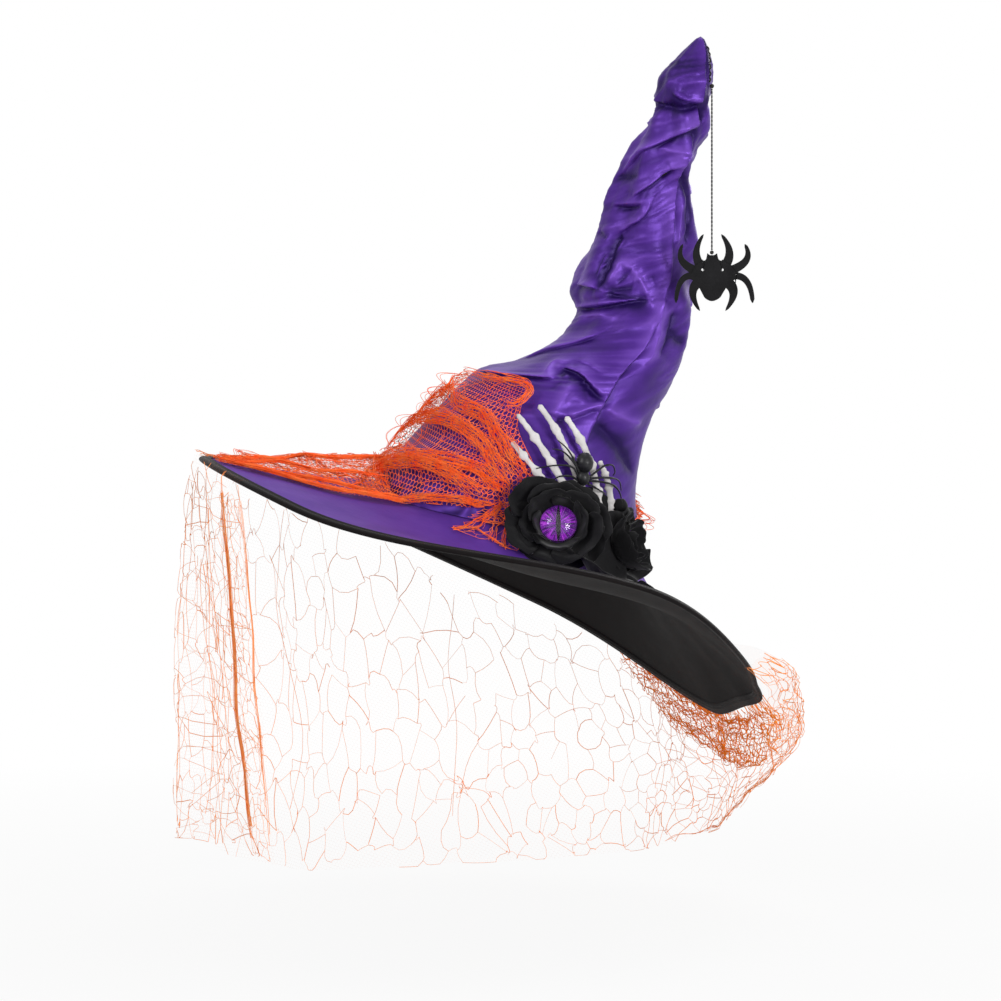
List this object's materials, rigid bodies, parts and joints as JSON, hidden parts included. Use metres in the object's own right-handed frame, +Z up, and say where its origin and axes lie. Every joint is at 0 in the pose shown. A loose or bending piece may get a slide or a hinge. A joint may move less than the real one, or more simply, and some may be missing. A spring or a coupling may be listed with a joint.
{
  "type": "witch hat",
  "caption": "Leaning crumpled witch hat with a wired brim, lace net band and veil, rose trim with glass eyes, a skeleton hand and a felt spider hanging from its tip.",
  "frame": {"origin": "centre of the head opening at the underside of the brim", "axes": "+X to the wearer's left, -Y to the wearer's front, +Z up as worn"},
  "size_m": [0.4745, 0.474, 0.6362],
  "materials": {
    "purple_satin": "satin",
    "black_cloth": "matte",
    "black_binding": "satin",
    "stiffener": "matte",
    "steel_wire": "plain",
    "orange_net": "lace",
    "black_felt": "felted",
    "black_petals": "velvet",
    "black_thread": "twisted",
    "bone_white": "matte",
    "black_plastic": "satin",
    "purple_iris": "foil",
    "clear_glass": "polished"
  },
  "bodies": {
    "hat": {"crown_cone": "purple_satin", "brim_top_cover": "purple_satin", "crown_lining": "black_cloth", "sweatband": "black_cloth", "gather_tape": "black_cloth", "brim_under_cover": "black_cloth", "brim_binding": "black_binding", "brim_stiffener": "stiffener", "brim_edge_wire": "steel_wire", "net_band": "orange_net", "net_brim_drape": "orange_net", "veil_left": "orange_net", "veil_back": "orange_net", "veil_right": "orange_net", "trim_backing": "black_felt", "skeleton_hand": "bone_white", "plastic_spider": "black_plastic", "rose_outer_petals": "black_petals", "rose_middle_petals": "black_petals", "rose_inner_petals": "black_petals", "rose_eye_iris_back": "purple_iris", "rose_eye_glass_dome": "clear_glass", "small_rose_outer_petals": "black_petals", "small_rose_inner_petals": "black_petals", "small_rose_eye_iris_back": "purple_iris", "small_rose_eye_glass_dome": "clear_glass", "leaf_front": "black_petals", "leaf_right": "black_petals", "rose_bud": "black_petals", "thread_sewn_end": "black_thread"},
    "thread_knot": {"thread_knot": "black_thread"},
    "thread": {"spider_thread": "black_thread"},
    "hanging_spider": {"spider_tie": "black_thread", "felt_spider": "black_felt"}
  },
  "joints": [
    {"name": "spider_side_swing", "type": "hinge", "parent": "hat", "child": "thread_knot", "pos_m": [0.15015, -0.0654, 0.3052], "axis": [0, -1, 0], "range_deg": [0, 70]},
    {"name": "spider_front_swing", "type": "hinge", "parent": "thread_knot", "child": "thread", "pos_m": [0.15015, -0.0654, 0.3052], "axis": [-1, 0, 0], "range_deg": [0, 60]},
    {"name": "spider_spin", "type": "hinge", "parent": "thread", "child": "hanging_spider", "pos_m": [0.15015, -0.0654, 0.186], "axis": [0, 0, 1], "continuous": true}
  ]
}
